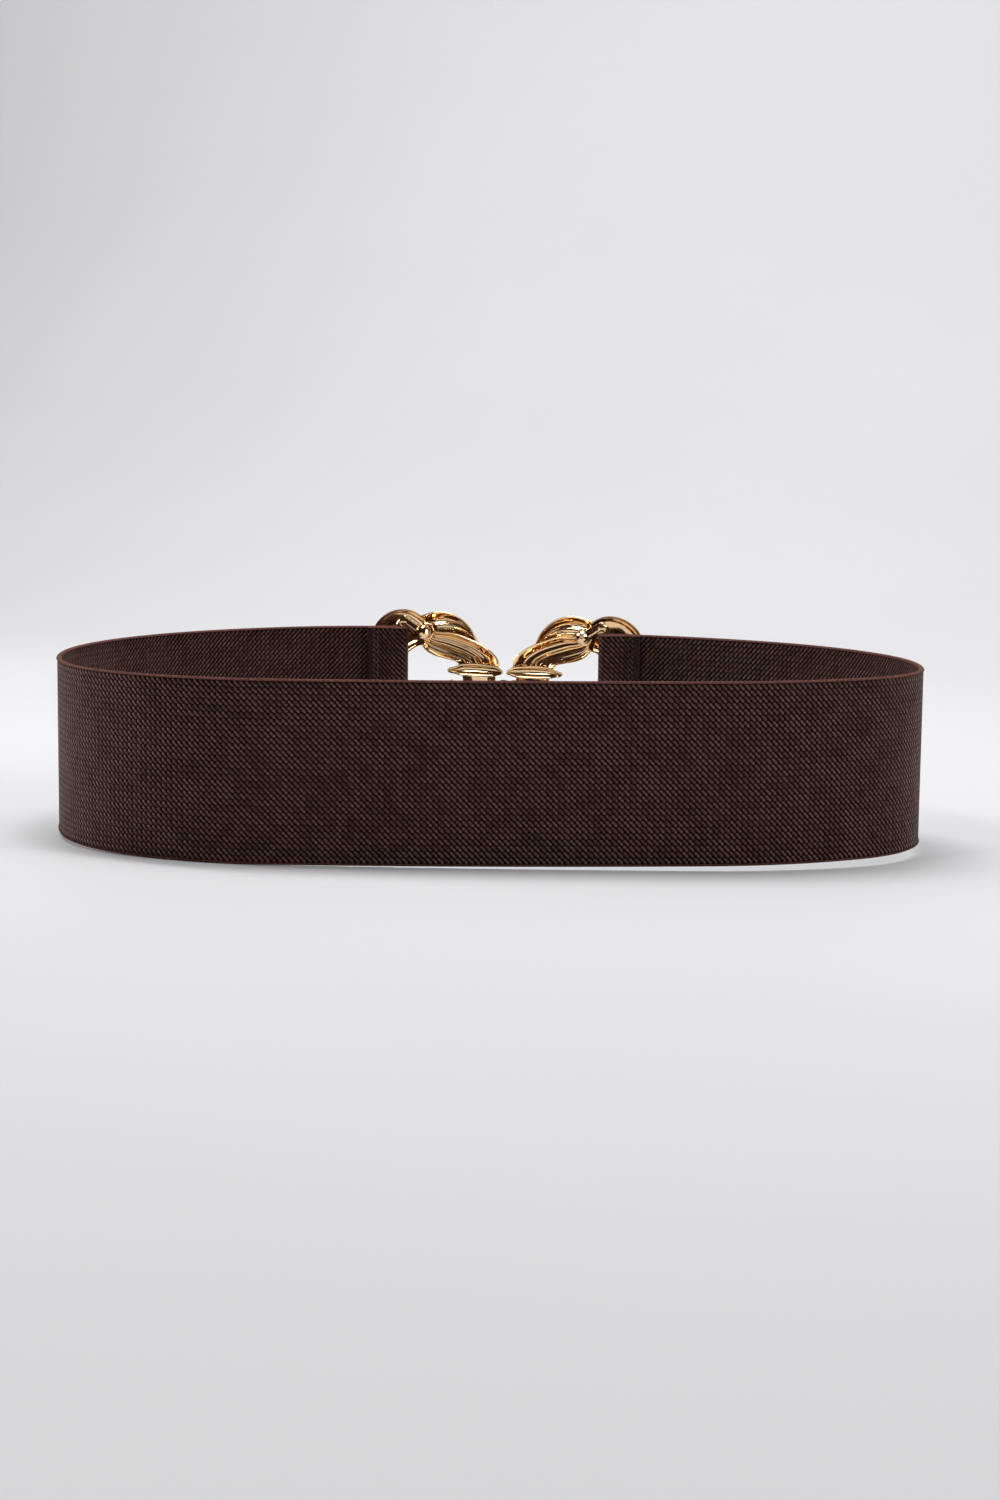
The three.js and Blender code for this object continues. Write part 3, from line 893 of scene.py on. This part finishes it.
def rounded_disc(name, radius, place, depth, edge):
    bpy.ops.mesh.primitive_cylinder_add(
        vertices=40, radius=radius, depth=depth, location=place,
        rotation=(math.radians(90), 0, 0))
    piece = fresh(name)
    settle(piece)
    choose(piece, "FACE", lambda f: abs(f.normal.y) > 0.9)
    bpy.ops.mesh.bevel(offset=edge, segments=3, affect="EDGES")
    done()
    return piece


def flat_leg(up):
    """The flattened end of the wire, from the elbow down to the boss."""
    (u0, v0), (u1, v1) = STRAP_START, (BOSS_U, BOSS_V)
    slope = math.atan2(v0 - v1, u0 - u1)
    bpy.ops.mesh.primitive_cube_add(
        size=1, location=((u0 + u1) / 2, 0, up * (v0 + v1) / 2),
        scale=(math.hypot(u0 - u1, v0 - v1), STRAP_THICKNESS, STRAP_WIDTH), rotation=(0, -up * slope, 0))
    piece = fresh("flat_leg")
    settle(piece)
    along = Vector((math.cos(slope), 0, up * math.sin(slope)))
    choose(piece, "EDGE", lambda e: abs((e.verts[0].co - e.verts[1].co).normalized().dot(along)) > 0.9)
    bpy.ops.mesh.bevel(offset=0.0008, segments=3, affect="EDGES")
    done()
    return piece


def wire_bar(name, side):
    """Bent wire in the fold of the band: its two flattened legs are riveted to the bosses."""
    solids = [wire(name)]
    front, back = -STRAP_THICKNESS / 2 - 0.0002, BAR_RADIUS + RIVET_HEIGHT / 2 - SEAT_GAP
    for up in (1, -1):
        v = up * BOSS_V
        solids.append(flat_leg(up))
        solids.append(rounded_disc(
            "elbow", STRAP_WIDTH / 2, (STRAP_START[0], 0, up * STRAP_START[1]), STRAP_THICKNESS, 0.0009))
        solids.append(rounded_disc(
            "eye", RIVET_RADIUS, (BOSS_U, (front + back) / 2, v), back - front, 0.0005))
        bpy.ops.mesh.primitive_uv_sphere_add(
            segments=11, ring_count=7, radius=1, location=(BOSS_U, front + 0.0002, v),
            rotation=(1.2, 0.4, 0))
        head = fresh("rivet_head")
        bpy.ops.object.transform_apply(location=False, rotation=True, scale=True)
        head.scale = RIVET_HEAD
        settle(head)
        solids.append(head)
    piece = united(solids, name)
    if side < 0:
        mirror(piece, "X")
    stand(piece)
    node_name = "band_bar_left" if side < 0 else "band_bar_right"
    return finish_piece(piece, GOLD, [node_name], 17)


def clasp():
    """Hook plate with its rounded tongue and the lip that turns out into the slot."""
    back = CAST_BACK - SEAT_GAP - HOOK_THICKNESS
    lip = -(SLOT_MIDDLE + HOOK_THICKNESS / 2)
    front = CAST_BACK + CAST_CROWN
    middle = back + HOOK_THICKNESS / 2
    boxes = [
        ((lip + (HOOK_PLATE_END - lip) / 2, middle, 0),
         (HOOK_PLATE_END - lip, HOOK_THICKNESS, HOOK_LIP_HEIGHT)),
        (((HOOK_PLATE_END + HOOK_PLATE_START) / 2, middle, 0),
         (HOOK_PLATE_END - HOOK_PLATE_START, HOOK_THICKNESS, HOOK_HEIGHT)),
        ((lip + HOOK_THICKNESS / 2, (front + back) / 2, 0),
         (HOOK_THICKNESS, front - back, HOOK_LIP_HEIGHT)),
    ]
    solids = []
    for location, scale in boxes:
        bpy.ops.mesh.primitive_cube_add(size=1, location=location, scale=scale)
        solids.append(fresh("hook_part"))
        settle(solids[-1])
    bpy.ops.mesh.primitive_cylinder_add(
        vertices=64, radius=HOOK_HEIGHT / 2, depth=HOOK_THICKNESS, location=(0, middle, 0),
        rotation=(math.radians(90), 0, 0))
    tongue = fresh("tongue")
    settle(tongue)
    tongue.data.transform(Matrix.Diagonal((TONGUE_WIDTH / HOOK_HEIGHT, 1, 1, 1)))
    piece = united([*solids, tongue], "clasp_plate")
    add(piece, "BEVEL", width=0.0003, segments=3, limit_method="ANGLE", angle_limit=math.radians(50))
    apply_all(piece)
    stand(piece)
    return finish_piece(piece, GOLD, ["clasp_hook"], 35)


# Make it

CURVE = band_curve()
core = band_core(CURVE)
half_rows = ROWS // 2
floats = [
    weave("outer_weave_low", -1, half_rows, 0, CURVE),
    weave("outer_weave_high", -1, ROWS - half_rows, half_rows, CURVE),
    weave("inner_weave_low", 1, half_rows, 0, CURVE),
    weave("inner_weave_high", 1, ROWS - half_rows, half_rows, CURVE),
]
sewing = [
    straight_stitches("left_end_stitches", STITCH_PLACE, CURVE),
    straight_stitches("right_end_stitches", FLAT_LENGTH - STITCH_PLACE, CURVE),
    overlock("left_end_overlock", 0, 1, CURVE),
    overlock("right_end_overlock", FLAT_LENGTH, -1, CURVE),
]
bpy.data.objects.remove(CURVE)
cast_half("cast_half_left", -1)
cast_half("cast_half_right", 1)
wire_bar("wire_bar_left", -1)
wire_bar("wire_bar_right", 1)
clasp()


# Stage, light, camera

def stage():
    """Floor and backdrop in one sheet with a wide curve between them."""
    bpy.ops.mesh.primitive_plane_add(size=1)
    sheet = fresh("backdrop")
    sheet.scale = (12, 7, 1)
    sheet.location = (0, -2.6, 0)
    settle(sheet)
    choose(sheet, "EDGE", lambda e: all(v.co.y > 0.8 for v in e.verts))
    radius, steps = 1.1, 18
    run = radius * math.radians(90) / steps
    for step in range(1, steps + 1):
        angle = math.radians(90 * (step - 0.5) / steps)
        bpy.ops.mesh.extrude_region_move(
            TRANSFORM_OT_translate={"value": (0, run * math.cos(angle), run * math.sin(angle))})
    bpy.ops.mesh.extrude_region_move(TRANSFORM_OT_translate={"value": (0, 0, 6)})
    done()
    smooth(sheet)
    sheet.data.materials.append(PAPER)


def softbox(name, place, aim, size, power):
    bpy.ops.object.light_add(type="AREA", location=place)
    lamp = bpy.context.object
    lamp.name = name
    lamp.data.shape = "RECTANGLE"
    lamp.data.size, lamp.data.size_y = size
    lamp.data.energy = power
    lamp.rotation_euler = (Vector(aim) - Vector(place)).to_track_quat("-Z", "Y").to_euler()


def light():
    """Soft boxes over and beside the belt, in a dim warm room that the metal mirrors."""
    world = bpy.context.scene.world or bpy.data.worlds.new("World")
    bpy.context.scene.world = world
    world.use_nodes = True
    room = world.node_tree.nodes["Background"]
    room.inputs["Color"].default_value = (1.0, 0.55, 0.35, 1)
    room.inputs["Strength"].default_value = 0.03
    softbox("overhead", (0.0, 0.25, 1.6), (0.0, 0.25, 0), (1.4, 1.1), 12.5)
    softbox("left_window", (-1.3, -0.1, 0.6), (0, 0, 0.03), (0.4, 1.0), 6.5)
    softbox("right_window", (1.3, -0.1, 0.6), (0, 0, 0.03), (0.4, 1.0), 7)
    softbox("key", (-0.55, -1.0, 1.25), (0, 0.1, 0.04), (0.32, 0.24), 4.6)
    softbox("room", (0.2, -2.6, 1.0), (0, 0, 0), (1.8, 1.0), 2.6)
    softbox("backdrop_light", (-0.4, 0.3, 2.2), (-0.1, 1.7, 0.6), (1.8, 0.4), 42)


def camera():
    """The photograph's view: a fitted camera, with the buckle turned from its line of sight."""
    turn, pitch, roll = math.radians(17.29), 0.1317, 0.0106
    focal_pixels, image_height, height, sensor = 2569.28, 1500, 0.14534, 36
    data = bpy.data.cameras.new("camera")
    data.sensor_width = sensor
    data.lens = sensor * focal_pixels / image_height
    data.clip_start, data.clip_end = 0.05, 50
    eye = bpy.data.objects.new("camera", data)
    bpy.context.scene.collection.objects.link(eye)
    bpy.context.scene.camera = eye
    spin = Matrix.Rotation(turn, 3, "Z")
    forward = Vector((0, math.cos(pitch), -math.sin(pitch)))
    right = Vector((1, 0, 0))
    up = right.cross(forward)
    tilted_right = math.cos(roll) * right + math.sin(roll) * up
    tilted_up = -math.sin(roll) * right + math.cos(roll) * up
    axes = Matrix((spin @ tilted_right, spin @ tilted_up, spin @ -forward)).transposed().to_4x4()
    place = Matrix.Translation(spin @ Vector((-0.00037, -1.00084, 0)) + Vector((0, 0, height)))
    eye.matrix_world = STAND @ place @ axes


stage()
light()
camera()
bpy.context.scene.view_settings.view_transform = "Standard"
